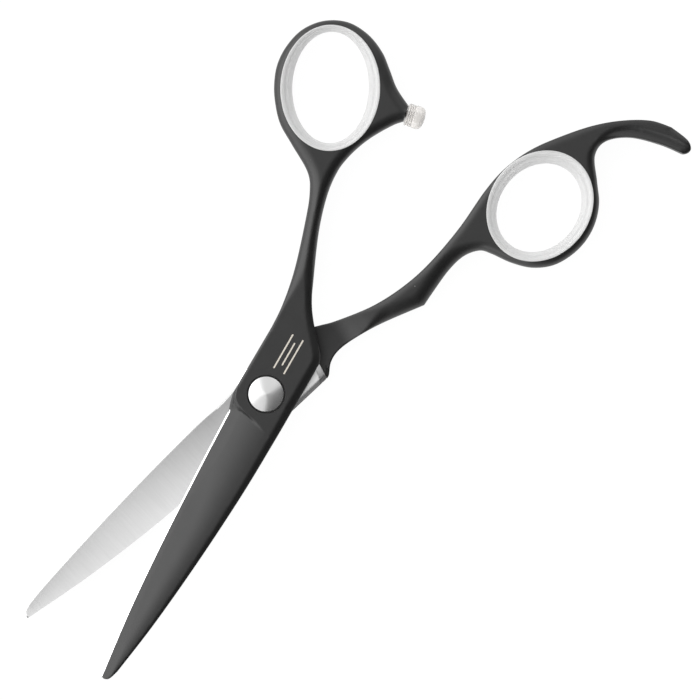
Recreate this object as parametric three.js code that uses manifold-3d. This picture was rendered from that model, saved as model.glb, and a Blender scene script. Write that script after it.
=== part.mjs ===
// Hair cutting shears with offset handles, a fixed little-finger rest and a
// click-dial tension adjuster. Millimetres, +Z up.
//
// The shears lie on their back: the adjuster and both finger rings touch z = 0.
// The origin is on the pivot axis and +X points to the blade tips. Each half is
// drawn in its own closed frame, where the cutting edge ends on the X axis, and
// is then turned about the pivot by half of the resting opening.
import * as THREE from "three";
import { ConvexGeometry } from "three/addons/geometries/ConvexGeometry.js";
import { mergeVertices } from "three/addons/utils/BufferGeometryUtils.js";
import Module from "manifold-3d";

const wasm = await Module();
wasm.setup();

// ---- Driving dimensions ----------------------------------------------------

const REST_OPENING = 16.9; // degrees between the halves as they lie
const HANDLE_TOP = 6.0; // upper face of both handles and of the thumb blade
const BLADE_BACK = 1.4; // outer face of the finger blade, clear of the table
const RIDE_LOWER = 3.6; // inner face of the finger blade
const RIDE_UPPER = 3.8; // inner face of the thumb blade
const EDGE_ROUND = 0.45; // rounding in plan of the forged edges
const EDGE_ROUND_HEIGHT = 0.9;
const SWING_RADIUS = 21.3; // the handles are half thick inside this radius
const SWING_RAMP = 3.2; // length of the ramp up to full thickness
const BACK_RADIUS = 14; // the finger blade's back is level inside this radius
const BACK_RAMP = 12;
const BEVEL_EDGE = 0.2; // steel left at the cutting edge before honing
const GAP = 0.05; // clearance between parts that touch

const HEAD_RADIUS = 3.47;
const HEAD_RIM = 3.37; // where the cone of the head starts
const HEAD_CROWN = 0.37; // height of the cone's point over the handle
const HEAD_SEAT_RADIUS = 3.78;
const HEAD_SEAT_DEPTH = 0.7;
const LINER_DEPTH = 0.2;
const LINER_RADIUS = 3.7;
const KEY_RADIUS = 2.6; // keyed shank, held by the thumb blade
const KEY_FLAT = 2.1;
const SHANK_RADIUS = 1.95;
const THREAD_RADIUS = 1.7;
const THREAD_FLAT = 1.35;
const THREAD_END = 0.4; // height of the bolt's lower end
const BUSHING_RADIUS = 2.8;
const RIDE_WASHER_BORE = 2.9;
const RIDE_WASHER_RADIUS = 4.5;
const RIDE_WASHER_DEPTH = 0.35;
const WASHER_BORE = 2.05; // thrust washer and disc springs
const THRUST_WASHER_RADIUS = 4.5;
const THRUST_WASHER_THICKNESS = 0.15;
const SPRING_RADIUS = 4.0;
const SPRING_THICKNESS = 0.2;
const SPRING_RISE = 0.12;
const SPRING_PITCH = 0.27;

const DIAL_RADIUS = 4.4;
const DIAL_HEIGHT = 1.25;
const DIAL_CHAMFER = 0.3;
const DIAL_FACE = 0.35; // thickness of the dial's closed face
const DIAL_SEAT_RADIUS = 4.8;
const DIAL_SEAT_DEPTH = 1.0;
const GRIP_GROOVES = 12;
const GRIP_GROOVE_RADIUS = 0.42;
const CLICK_RADIUS = 3.9;
const CLICK_THICKNESS = 0.15;
const CLICK_NOTCHES = 4;
const CLICK_NOTCH_RADIUS = 0.9;
const CLICK_NOTCH_REACH = 4.3;

const LIP_OVERLAP = 0.5; // how far an insert's lip covers the ring
const LIP_DEPTH = 0.45;

// A finger ring: the centre and the tilt of its bore, the outline of its
// insert's lip, the opening that is left for the finger, and how far the
// opening lies off the centre.
const THUMB_RING = {
  x: -58.5,
  y: -19.1,
  tilt: 28,
  lip: [12.4, 9.8],
  opening: [11.0, 7.55],
  shift: [-0.22, 0.06],
};
const FINGER_RING = {
  x: -64.6,
  y: 9.9,
  tilt: 9,
  lip: [11.45, 9.95],
  opening: [9.25, 7.8],
  shift: [0.26, 0.1],
};

const LUG_ANGLE = 101.5; // bearing of the bumper from the thumb ring's centre
const LUG_REACH = 15.75;
const LUG_HALF_WIDTH = 1.6;
const BUMPER_RADIUS = 2.3;
const BUMPER_LENGTH = 3.85;
const BUMPER_HEIGHT = 3.0; // of its axis over the table
const COLLAR_START = 0.3;
const COLLAR_GROOVE = 0.3;
const STUD_RADIUS = 0.8;
const STUD_DEPTH = 2.6; // in the lug
const STUD_REACH = 2.5; // in the bumper

// ---- Solids ----------------------------------------------------------------

function toSolid(geometry) {
  const bare = new THREE.BufferGeometry();
  bare.setAttribute("position", geometry.getAttribute("position"));
  if (geometry.index) bare.setIndex(geometry.index);
  const merged = mergeVertices(bare, 1e-4);
  const mesh = new wasm.Mesh({
    numProp: 3,
    vertProperties: merged.attributes.position.array,
    triVerts: new Uint32Array(merged.index.array),
  });
  return new wasm.Manifold(mesh);
}

function toGeometry(solid) {
  const mesh = solid.getMesh();
  const geometry = new THREE.BufferGeometry();
  geometry.setAttribute("position", new THREE.BufferAttribute(mesh.vertProperties, 3));
  geometry.setIndex(new THREE.BufferAttribute(mesh.triVerts, 1));
  return geometry;
}

function prism(shape, low, high) {
  const options = { depth: high - low, bevelEnabled: false, curveSegments: 1 };
  return toSolid(new THREE.ExtrudeGeometry(shape, options).translate(0, 0, low));
}

function revolved(profile, segments = 40) {
  const points = profile.map(([radius, height]) => new THREE.Vector2(radius, height));
  return new THREE.LatheGeometry(points, segments).rotateX(Math.PI / 2);
}

function disc(radius, low, high, segments = 40) {
  return cone(radius, radius, low, high, segments);
}

function cone(lowRadius, highRadius, low, high, segments = 40) {
  const profile = [[0, low], [lowRadius, low], [highRadius, high], [0, high]];
  return toSolid(revolved(profile, segments));
}

function ring(inner, outer, low, high, segments = 40) {
  return disc(outer, low, high, segments).subtract(disc(inner, low - 1, high + 1, segments));
}

function hull(points) {
  return toSolid(new ConvexGeometry(points.map(([x, y, z]) => new THREE.Vector3(x, y, z))));
}

function box(low, high) {
  const size = new THREE.Vector3(high[0] - low[0], high[1] - low[1], high[2] - low[2]);
  const geometry = new THREE.BoxGeometry(size.x, size.y, size.z);
  return toSolid(geometry.translate(low[0] + size.x / 2, low[1] + size.y / 2, low[2] + size.z / 2));
}

// A round bar with two flats, which can't turn in a hole of the same shape.
function keyed(radius, flat, low, high) {
  return disc(radius, low, high).intersect(box([-radius, -flat, low - 1], [radius, flat, high + 1]));
}

function ellipsePrism({ x, y, tilt }, [a, b], low, high, segments = 48) {
  const turn = THREE.MathUtils.degToRad(tilt);
  const outline = new THREE.EllipseCurve(x, y, a, b, 0, 2 * Math.PI, false, turn);
  return prism(new THREE.Shape(outline.getPoints(segments).slice(0, -1)), low, high);
}

const wider = ([a, b], by) => [a + by, b + by];

// ---- Outlines --------------------------------------------------------------

// A smooth stretch of outline through its knots. Stretches meet at corners.
function stretch(step, ...knots) {
  const curve = new THREE.SplineCurve(knots.map(([x, y]) => new THREE.Vector2(x, y)));
  return curve.getSpacedPoints(Math.max(1, Math.round(curve.getLength() / step)));
}

// Points around a ring's centre, given by bearing in degrees and by reach.
function around({ x, y }, ...polar) {
  return polar.map(([bearing, reach]) => {
    const angle = THREE.MathUtils.degToRad(bearing);
    return [x + reach * Math.cos(angle), y + reach * Math.sin(angle)];
  });
}

function outlineOf(stretches) {
  return new THREE.Shape(stretches.flatMap((points) => points.slice(0, -1)));
}

function lugCorner(side) {
  const angle = THREE.MathUtils.degToRad(LUG_ANGLE);
  const along = new THREE.Vector2(Math.cos(angle), Math.sin(angle)).multiplyScalar(LUG_REACH);
  const across = new THREE.Vector2(-along.y, along.x).setLength(LUG_HALF_WIDTH).multiplyScalar(side);
  return [THUMB_RING.x + along.x + across.x, THUMB_RING.y + along.y + across.y];
}

// The thumb half has its cutting edge at -Y and its spine at +Y.
const THUMB_TIP = [64.6, -0.4];
const THUMB_EDGE_START = [6.6, -4.75];
const THUMB_HEEL = [-10.6, 6.1];

const thumbOutline = outlineOf([
  stretch(1.2, THUMB_TIP, [64.55, 0.45], [63.95, 1.2], [62, 1.85]),
  stretch(5.0, [62, 1.85], [50, 3.5], [35, 4.88], [20, 5.78], [8, 6.05], [0, 6.1]),
  stretch(4.0, [0, 6.1], [-5, 6.15], THUMB_HEEL),
  stretch(
    2.2, THUMB_HEEL, [-12.2, 5.25], [-14.4, 3.35], [-17, 1.0], [-20, -1.12], [-24, -3.1], [-33, -7.0],
    [-40, -9.12], [-45, -9.7],
    ...around(THUMB_RING, [45, 13.95], [60, 12.65], [75, 12.8], [90, 14.4]), lugCorner(-1),
  ),
  stretch(4.0, lugCorner(-1), lugCorner(1)),
  stretch(
    1.8, lugCorner(1),
    ...around(
      THUMB_RING, [120, 13.15], [137, 12.3], [155, 12.5], [175, 13.0], [195, 13.5], [215, 13.38],
      [235, 12.84], [255, 12.02], [275, 11.47], [295, 11.1], [315, 11.24], [335, 12.08], [355, 13.35],
    ),
    [-42, -14.8], [-38.5, -12.3], [-33, -10.2], [-24, -7.4], [-17, -6.0], [-12, -5.63],
  ),
  stretch(8.0, [-12, -5.63], [3.0, -5.78]),
  stretch(1.2, [3.0, -5.78], [4.6, -5.4], THUMB_EDGE_START),
  stretch(5.0, THUMB_EDGE_START, [20, -4.22], [35, -3.42], [50, -2.2], THUMB_TIP),
]);

// The finger half is the other way up: cutting edge at +Y, spine at -Y.
const FINGER_TIP = [64.5, 0.05];
const FINGER_EDGE_START = [6.6, 4.75];
const FINGER_HEEL = [-10.8, 5.95];
const FINGER_KNUCKLE = [-34.7, 8.55];

const fingerOutline = outlineOf([
  stretch(5.0, FINGER_TIP, [50, 2.25], [35, 3.75], [20, 4.5], FINGER_EDGE_START),
  stretch(1.2, FINGER_EDGE_START, [4.6, 5.55], [3.2, 5.95]),
  stretch(8.0, [3.2, 5.95], FINGER_HEEL),
  stretch(
    2.2, FINGER_HEEL, [-11.6, 5.7], [-13.6, 4.15], [-16.2, 3.5], [-20, 3.9], [-26, 5.4], FINGER_KNUCKLE,
  ),
  stretch(
    1.8, FINGER_KNUCKLE, [-38, 7.8], [-43, 6.85], [-47, 6.85], [-50, 8.15], [-51.3, 10.2],
    ...around(
      FINGER_RING, [20, 12.42], [40, 12.18], [60, 11.94], [80, 11.52], [100, 11.38], [120, 11.46],
      [140, 11.76], [160, 12.35],
    ),
    [-79.4, 10.1], [-83, 9.55], [-87, 12.35], [-90.3, 17.4], [-92.2, 21.8],
  ),
  stretch(1.0, [-92.2, 21.8], [-93.15, 22.4], [-94.1, 22.0], [-94.7, 20.2], [-94.1, 16.4]),
  stretch(
    2.2, [-94.1, 16.4], [-92, 12.6], [-88, 8.8], [-83, 5.5], [-77, 2.75], [-71, 0.65], [-65, -0.2],
    [-59, 0.3], [-50, 2.2], [-41, 3.2], [-34, 3.0], [-27, 1.65], [-20, -1.05], [-17, -2.62],
    [-14, -4.2], [-8, -6.3], [-4, -6.6], [0, -6.2], [4.6, -4.95], [9, -4.65],
  ),
  stretch(5.0, [9, -4.65], [15, -4.83], [30, -4.35], [45, -3.45], [57, -2.47], [62.5, -1.78]),
  stretch(0.9, [62.5, -1.78], [63.8, -1.35], [64.3, -0.75], FINGER_TIP),
]);

// ---- The two forged halves -------------------------------------------------

function forging(outline) {
  const geometry = new THREE.ExtrudeGeometry(outline, {
    depth: HANDLE_TOP - 2 * EDGE_ROUND_HEIGHT,
    bevelEnabled: true,
    bevelSize: EDGE_ROUND,
    bevelOffset: -EDGE_ROUND,
    bevelThickness: EDGE_ROUND_HEIGHT,
    bevelSegments: 2,
    curveSegments: 1,
  });
  return toSolid(geometry.translate(0, 0, EDGE_ROUND_HEIGHT));
}

// What the other half sweeps through, from a ride face up or down to `limit`.
function swingRoom(face, limit, radius, ramp) {
  const past = limit + Math.sign(limit - face);
  const slope = ramp / Math.abs(limit - face);
  const farRadius = radius + slope * Math.abs(past - face);
  const upwards = face < past;
  const room = upwards ? cone(radius, farRadius, face, past, 96) : cone(farRadius, radius, past, face, 96);
  const low = Math.min(face, past);
  const high = Math.max(face, past);
  return room.add(box([0, -30, low], [80, 30, high]));
}

// Everything outside the sloping outer face of a blade. The slope rises from
// the cutting edge and meets the full thickness on the plunge line.
function bladeBevel(edgeStart, tip, spineTop, ride, outer) {
  const side = Math.sign(edgeStart[1]);
  const up = Math.sign(outer - ride);
  const edge = ride + up * BEVEL_EDGE;
  const from = new THREE.Vector3(edgeStart[0], edgeStart[1], edge);
  const to = new THREE.Vector3(tip[0], tip[1], edge);
  const top = new THREE.Vector3(spineTop[0], spineTop[1], outer);
  const normal = to.clone().sub(from).cross(top.clone().sub(from));
  const heightAt = (x, y) => from.z - (normal.x * (x - from.x) + normal.y * (y - from.y)) / normal.z;
  const beside = 9 * side; // clear of the blade on either side
  const corners = [
    [edgeStart[0] - 1.4, beside],
    [tip[0] + 5, beside],
    [tip[0] + 5, -beside],
    [edgeStart[0] + 2.2, -beside],
  ];
  return hull(corners.flatMap(([x, y]) => [[x, y, heightAt(x, y)], [x, y, outer + 4 * up]]));
}

// A long shallow hollow in a blade's inner face, which leaves a narrow ride
// line along the edge and along the spine.
function hollowGrind(ride, into, start, end) {
  const section = ([x, middle, halfWidth, depth]) =>
    [-1, -0.6, -0.2, 0.2, 0.6, 1].flatMap((across) => {
      const y = middle + across * halfWidth;
      return [[x, y, ride + into * depth * (1 - across * across)], [x, y, ride - into * 0.5]];
    });
  return hull([...section(start), ...section(end)]);
}

function ringBore(place) {
  const bore = wider(place.lip, -LIP_OVERLAP);
  const rebate = wider(place.lip, GAP);
  return ellipsePrism(place, bore, -1, HANDLE_TOP + 1)
    .add(ellipsePrism(place, rebate, -1, LIP_DEPTH))
    .add(ellipsePrism(place, rebate, HANDLE_TOP - LIP_DEPTH, HANDLE_TOP + 1));
}

// Places a shape made along +Z so that it runs out along the lug's bearing.
function alongLug(geometry, reach) {
  const angle = THREE.MathUtils.degToRad(LUG_ANGLE);
  return geometry
    .rotateY(Math.PI / 2)
    .rotateZ(angle)
    .translate(
      THUMB_RING.x + reach * Math.cos(angle),
      THUMB_RING.y + reach * Math.sin(angle),
      BUMPER_HEIGHT,
    );
}

function thumbBlade() {
  const hole = STUD_RADIUS + GAP;
  const studHole = revolved([[0, -STUD_DEPTH], [hole, -STUD_DEPTH], [hole, 1], [0, 1]], 20);
  return forging(thumbOutline)
    .subtract(swingRoom(RIDE_UPPER, 0, SWING_RADIUS, SWING_RAMP))
    .subtract(bladeBevel(THUMB_EDGE_START, THUMB_TIP, [7.6, 4.2], RIDE_UPPER, HANDLE_TOP))
    .subtract(hollowGrind(RIDE_UPPER, 1, [9, 0.6, 4.2, 0.12], [62, 0.7, 0.6, 0.04]))
    .subtract(ringBore(THUMB_RING))
    .subtract(disc(HEAD_SEAT_RADIUS, HANDLE_TOP - HEAD_SEAT_DEPTH, HANDLE_TOP + 1))
    .subtract(keyed(KEY_RADIUS + GAP, KEY_FLAT + GAP, RIDE_UPPER - 1, HANDLE_TOP))
    .subtract(toSolid(alongLug(studHole, LUG_REACH)));
}

function fingerBlade() {
  return forging(fingerOutline)
    .subtract(swingRoom(RIDE_LOWER, HANDLE_TOP, SWING_RADIUS, SWING_RAMP))
    .subtract(swingRoom(BLADE_BACK, 0, BACK_RADIUS, BACK_RAMP))
    .subtract(bladeBevel(FINGER_EDGE_START, FINGER_TIP, [7.6, -3.4], RIDE_LOWER, BLADE_BACK))
    .subtract(hollowGrind(RIDE_LOWER, -1, [9, -0.1, 3.9, 0.12], [61, -0.7, 0.5, 0.04]))
    .subtract(ringBore(FINGER_RING))
    .subtract(disc(RIDE_WASHER_RADIUS + 0.1, RIDE_LOWER - RIDE_WASHER_DEPTH, RIDE_LOWER + 1))
    .subtract(disc(BUSHING_RADIUS + GAP, 0, HANDLE_TOP))
    .subtract(disc(DIAL_SEAT_RADIUS, 0, BLADE_BACK + DIAL_SEAT_DEPTH));
}

// ---- Ring inserts and bumper -----------------------------------------------

// A closed ring swept through a section of [semi-axis a, semi-axis b, height,
// share of the ring's shift].
function sweptEllipse({ x, y, tilt, shift }, section, segments = 48) {
  const turn = THREE.MathUtils.degToRad(tilt);
  const centre = new THREE.Vector2(x, y);
  const positions = [];
  const index = [];
  const count = section.length;
  for (let i = 0; i < segments; i++) {
    const t = (2 * Math.PI * i) / segments;
    const next = (i + 1) % segments;
    section.forEach(([a, b, z, share], j) => {
      const u = a * Math.cos(t) + share * shift[0];
      const v = b * Math.sin(t) + share * shift[1];
      const point = new THREE.Vector2(x + u, y + v).rotateAround(centre, turn);
      positions.push(point.x, point.y, z);
      const up = (j + 1) % count;
      const corners = [i * count + j, next * count + j, next * count + up, i * count + up];
      index.push(corners[0], corners[1], corners[2], corners[0], corners[2], corners[3]);
    });
  }
  const geometry = new THREE.BufferGeometry();
  geometry.setAttribute("position", new THREE.BufferAttribute(new Float32Array(positions), 3));
  geometry.setIndex(index);
  return geometry;
}

// A soft sleeve with a lip that lies in the rebate on each face of its ring.
// The bulging inner wall is narrowest half way through.
function insertGeometry(place) {
  const middle = HANDLE_TOP / 2;
  const underLip = middle - LIP_DEPTH + GAP;
  const body = wider(place.lip, -LIP_OVERLAP - GAP);
  // [semi-axes, height and share of the shift] on the bulging wall, 0 at its
  // narrowest and 1 at the bore
  const wall = (share, height) => {
    const axes = place.opening.map((axis, i) => axis + share * (body[i] - axis));
    return [...axes, height, 1 - share];
  };
  const half = [
    [...body, underLip, 0],
    [...place.lip, underLip, 0],
    [...place.lip, middle - 0.1, 0],
    wall(0.75, middle),
    wall(0.4, middle - 0.7),
    wall(0.12, middle - 1.6),
    wall(0, middle - 2.6),
  ];
  const upper = half.map(([a, b, height, share]) => [a, b, middle + height, share]);
  const lower = half.map(([a, b, height, share]) => [a, b, middle - height, share]).reverse();
  return sweptEllipse(place, [...upper, ...lower]);
}

function bumperGeometry() {
  const r = BUMPER_RADIUS;
  const end = BUMPER_LENGTH;
  const bore = STUD_RADIUS + GAP;
  const boreEnd = STUD_REACH + 0.1;
  const profile = [
    [bore, COLLAR_START],
    [r - 0.1, COLLAR_START],
    [r, COLLAR_START + 0.2],
    [r, COLLAR_START + 0.7],
    [r - COLLAR_GROOVE, COLLAR_START + 0.9],
    [r - COLLAR_GROOVE, COLLAR_START + 1.15],
    [r, COLLAR_START + 1.35],
    [r, end - 1.0],
    [r - 0.25, end - 0.45],
    [r - 0.85, end - 0.1],
    [0, end],
    [0, boreEnd],
    [bore, boreEnd],
    [bore, COLLAR_START],
  ];
  return alongLug(revolved(profile, 28), LUG_REACH);
}

function studGeometry() {
  const profile = [
    [0, GAP - STUD_DEPTH],
    [STUD_RADIUS, 0.2 - STUD_DEPTH],
    [STUD_RADIUS, STUD_REACH - 0.1],
    [0, STUD_REACH],
  ];
  return alongLug(revolved(profile, 20), LUG_REACH);
}

// ---- Pivot -----------------------------------------------------------------

const HEAD_SEAT = HANDLE_TOP - HEAD_SEAT_DEPTH;

function pivotBolt() {
  const under = HEAD_SEAT + LINER_DEPTH + GAP;
  const head = revolved([
    [0, under],
    [HEAD_RADIUS, under],
    [HEAD_RADIUS, HANDLE_TOP - 0.14],
    [HEAD_RIM, HANDLE_TOP - 0.09],
    [0, HANDLE_TOP + HEAD_CROWN],
  ], 48);
  return toSolid(head)
    .add(keyed(KEY_RADIUS, KEY_FLAT, RIDE_UPPER + GAP, under + 0.1))
    .add(disc(SHANK_RADIUS, BLADE_BACK + 0.3, RIDE_UPPER + 0.2))
    .add(keyed(THREAD_RADIUS, THREAD_FLAT, THREAD_END, BLADE_BACK + 0.4));
}

// The stack between the finger blade's back and the dial, from the blade out.
const STACK_TOP = BLADE_BACK + DIAL_SEAT_DEPTH - GAP;
const SPRINGS_TOP = STACK_TOP - THRUST_WASHER_THICKNESS - GAP;

function discSpring(top) {
  return revolved([
    [WASHER_BORE, top - SPRING_THICKNESS],
    [SPRING_RADIUS, top - SPRING_THICKNESS - SPRING_RISE],
    [SPRING_RADIUS, top - SPRING_RISE],
    [WASHER_BORE, top],
    [WASHER_BORE, top - SPRING_THICKNESS],
  ]);
}

// Copies of a shape on a circle about the pivot, as one solid.
function circled(shape, count, reach) {
  const copies = [];
  for (let i = 0; i < count; i++) {
    const angle = (2 * Math.PI * i) / count;
    copies.push(shape.translate([reach * Math.cos(angle), reach * Math.sin(angle), 0]));
  }
  return copies.reduce((left, right) => left.add(right));
}

function clickPlate() {
  const low = DIAL_HEIGHT + GAP;
  const notch = disc(CLICK_NOTCH_RADIUS, low - 1, low + 1, 20);
  return disc(CLICK_RADIUS, low, low + CLICK_THICKNESS)
    .subtract(keyed(THREAD_RADIUS + 0.1, THREAD_FLAT + 0.1, 0, low + 1))
    .subtract(circled(notch, CLICK_NOTCHES, CLICK_NOTCH_REACH));
}

function tensionDial() {
  const body = revolved([
    [0, 0],
    [DIAL_RADIUS - 0.35, 0],
    [DIAL_RADIUS, DIAL_CHAMFER],
    [DIAL_RADIUS, DIAL_HEIGHT - 0.1],
    [DIAL_RADIUS - 0.1, DIAL_HEIGHT],
    [0, DIAL_HEIGHT],
  ], 48);
  const groove = disc(GRIP_GROOVE_RADIUS, -1, DIAL_HEIGHT + 1, 12);
  return toSolid(body)
    .subtract(disc(THREAD_RADIUS + 0.1, DIAL_FACE, DIAL_HEIGHT + 1))
    .subtract(circled(groove, GRIP_GROOVES, DIAL_RADIUS + 0.12));
}

function headLiner() {
  return ring(KEY_RADIUS + 0.1, LINER_RADIUS, HEAD_SEAT + GAP, HEAD_SEAT + LINER_DEPTH);
}

function rideWasher() {
  return ring(RIDE_WASHER_BORE, RIDE_WASHER_RADIUS, RIDE_LOWER - RIDE_WASHER_DEPTH + GAP, RIDE_UPPER - GAP);
}

function pivotBushing() {
  return ring(SHANK_RADIUS + GAP, BUSHING_RADIUS, STACK_TOP + 0.1, RIDE_UPPER - 0.1);
}

function thrustWasher() {
  return ring(WASHER_BORE, THRUST_WASHER_RADIUS, STACK_TOP - THRUST_WASHER_THICKNESS, STACK_TOP);
}

// ---- Assembly --------------------------------------------------------------

const blackCoat = { color: 0x2b2b2c, roughness: 0.42, metalness: 0.85 };
const bareSteel = { color: 0xc9c9ca, roughness: 0.28, metalness: 1.0 };
const softClear = { color: 0xe3e4e6, roughness: 0.35, metalness: 0.0 };
const nylon = { color: 0x1c1c1e, roughness: 0.6, metalness: 0.0 };
const whitePlastic = { color: 0xe9e9e6, roughness: 0.5, metalness: 0.0 };
const bronze = { color: 0xa98552, roughness: 0.4, metalness: 1.0 };

function piece(name, shape, finish) {
  const geometry = shape.isBufferGeometry ? shape : toGeometry(shape);
  const mesh = new THREE.Mesh(geometry, new THREE.MeshStandardMaterial(finish));
  mesh.name = name;
  return mesh;
}

const thumbHalf = new THREE.Group();
thumbHalf.rotation.z = THREE.MathUtils.degToRad(REST_OPENING / 2);
thumbHalf.add(
  piece("thumb_blade", thumbBlade(), blackCoat),
  piece("thumb_ring_insert", insertGeometry(THUMB_RING), softClear),
  piece("bumper", bumperGeometry(), softClear),
  piece("bumper_stud", studGeometry(), bareSteel),
  piece("pivot_bolt", pivotBolt(), bareSteel),
  piece("head_liner", headLiner(), nylon),
  piece("click_plate", clickPlate(), bareSteel),
  piece("tension_dial", tensionDial(), bareSteel),
);

const fingerHalf = new THREE.Group();
fingerHalf.rotation.z = -thumbHalf.rotation.z;
fingerHalf.add(
  piece("finger_blade", fingerBlade(), blackCoat),
  piece("finger_ring_insert", insertGeometry(FINGER_RING), softClear),
  piece("ride_washer", rideWasher(), whitePlastic),
  piece("pivot_bushing", pivotBushing(), bronze),
  piece("thrust_washer", thrustWasher(), nylon),
  piece("disc_spring_inner", discSpring(SPRINGS_TOP), bareSteel),
  piece("disc_spring_outer", discSpring(SPRINGS_TOP - SPRING_PITCH), bareSteel),
);

const shears = new THREE.Group();
shears.add(fingerHalf, thumbHalf);

export default shears;
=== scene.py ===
"""Hair cutting shears, lying open on a white table under soft studio light.

Lengths are in millimetres until a mesh is made, and metres in Blender. The
origin is on the pivot axis at the table, +X points to the blade tips and +Z
points up. Each half is drawn in its own closed frame and then turned about
the pivot by half of the resting opening.
"""

import math

import bpy
import numpy as np
from mathutils import Matrix, Vector
from mathutils.geometry import delaunay_2d_cdt


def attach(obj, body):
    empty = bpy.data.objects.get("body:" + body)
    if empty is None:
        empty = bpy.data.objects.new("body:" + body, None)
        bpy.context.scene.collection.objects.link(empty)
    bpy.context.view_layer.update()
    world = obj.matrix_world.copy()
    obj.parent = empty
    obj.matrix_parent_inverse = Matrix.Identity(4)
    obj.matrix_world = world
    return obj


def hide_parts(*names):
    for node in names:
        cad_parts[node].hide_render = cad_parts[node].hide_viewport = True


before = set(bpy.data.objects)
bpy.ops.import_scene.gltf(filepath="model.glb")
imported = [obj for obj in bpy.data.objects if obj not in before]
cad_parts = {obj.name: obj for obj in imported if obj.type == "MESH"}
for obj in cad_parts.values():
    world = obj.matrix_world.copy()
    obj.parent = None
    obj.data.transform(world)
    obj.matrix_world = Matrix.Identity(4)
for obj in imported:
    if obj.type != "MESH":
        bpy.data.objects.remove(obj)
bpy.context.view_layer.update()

MM = 0.001

# ---- Driving dimensions, as in the CAD -------------------------------------

REST_OPENING = 16.9
HANDLE_TOP = 6.0
BLADE_BACK = 1.4
RIDE_LOWER = 3.6
RIDE_UPPER = 3.8
SWING_RADIUS = 21.3
SWING_RAMP = 3.1
SHOULDER = 25.2
BACK_RADIUS = 14.0
BACK_RAMP = 12.0
HEAD_RADIUS = 3.47
HEAD_SEAT_RADIUS = 3.78
DIAL_RADIUS = 4.4
DIAL_HEIGHT = 1.25
DIAL_SEAT_RADIUS = 4.8

THUMB_TURN = math.radians(REST_OPENING / 2)
FINGER_TURN = -THUMB_TURN

# A finger ring: centre and tilt of its bore, the outline of its insert's lip,
# the opening left for the finger and how far the opening lies off the centre.
THUMB_RING = {
    "centre": (-58.5, -19.1), "tilt": 28, "lip": (12.4, 9.8), "opening": (11.0, 7.55), "shift": (-0.22, 0.06),
}
FINGER_RING = {
    "centre": (-64.6, 9.9), "tilt": 9, "lip": (11.45, 9.95), "opening": (9.25, 7.8), "shift": (0.26, 0.1),
}

# The seat of the bolt's head and of the tension dial, as a round hole.
SEAT = {"centre": (0, 0), "tilt": 0}

LUG_ANGLE = 101.5
LUG_REACH = 15.75
LUG_HALF_WIDTH = 1.6
BUMPER_RADIUS = 2.3
BUMPER_HEIGHT = 3.0

# ---- Plane geometry --------------------------------------------------------


def spline(knots, step):
    """Points about `step` apart on a smooth curve through the knots."""
    knots = np.asarray(knots, float)
    padded = np.vstack([knots[:1], knots, knots[-1:]])
    t = np.linspace(0, 1, 40, endpoint=False)[:, None]
    parts = []
    for p0, p1, p2, p3 in zip(padded, padded[1:], padded[2:], padded[3:]):
        m1, m2 = (p2 - p0) / 2, (p3 - p1) / 2
        cubic = (2 * p1 - 2 * p2 + m1 + m2) * t**3 + (3 * p2 - 3 * p1 - 2 * m1 - m2) * t**2
        parts.append(cubic + m1 * t + p1)
    dense = np.vstack(parts + [knots[-1:]])
    along = np.concatenate([[0], np.cumsum(np.linalg.norm(np.diff(dense, axis=0), axis=1))])
    even = np.linspace(0, along[-1], max(1, round(along[-1] / step)) + 1)
    return np.column_stack([np.interp(even, along, dense[:, i]) for i in (0, 1)])


def around(ring, *polar):
    """Points around a ring's centre, from bearings in degrees and reaches."""
    cx, cy = ring["centre"]
    return [(cx + r * math.cos(math.radians(a)), cy + r * math.sin(math.radians(a))) for a, r in polar]


def lug_point(reach, across):
    """A point on the lug, from its distance along and across its axis."""
    a = math.radians(LUG_ANGLE)
    cx, cy = THUMB_RING["centre"]
    return (cx + reach * math.cos(a) - across * math.sin(a), cy + reach * math.sin(a) + across * math.cos(a))


def nearest(points, path):
    """Distance from each point to an open path, and where along the path (as a sample number)."""
    a, ab = path[:-1], np.diff(path, axis=0)
    length2 = (ab**2).sum(1)
    distance, place = [], []
    for chunk in np.array_split(points, max(1, len(points) * len(path) // 3_000_000)):
        ap = chunk[:, None] - a[None]
        t = np.clip((ap * ab).sum(2) / length2, 0, 1)
        gap2 = ((ap - t[..., None] * ab) ** 2).sum(2)
        i = gap2.argmin(1)
        rows = np.arange(len(chunk))
        distance.append(np.sqrt(gap2[rows, i]))
        place.append(i + t[rows, i])
    return np.concatenate(distance), np.concatenate(place)


def inside(points, loop):
    """Which points lie inside a closed loop."""
    x0, y0 = loop.T
    x1, y1 = np.roll(loop, -1, axis=0).T
    hits = []
    for chunk in np.array_split(points, max(1, len(points) * len(loop) // 4_000_000)):
        x, y = chunk[:, :1], chunk[:, 1:]
        spans = (y0 > y) != (y1 > y)
        with np.errstate(divide="ignore", invalid="ignore"):
            crossing = x0 + (y - y0) * (x1 - x0) / (y1 - y0)
        hits.append((spans & (x < crossing)).sum(1) % 2 == 1)
    return np.concatenate(hits)


def ellipse_share(points, ring, axes):
    """1 on the ellipse, less inside it and more outside it."""
    turn = math.radians(ring["tilt"])
    local = np.asarray(points) - ring["centre"]
    u = local[:, 0] * math.cos(turn) + local[:, 1] * math.sin(turn)
    v = local[:, 1] * math.cos(turn) - local[:, 0] * math.sin(turn)
    return np.hypot(u / axes[0], v / axes[1])


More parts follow.
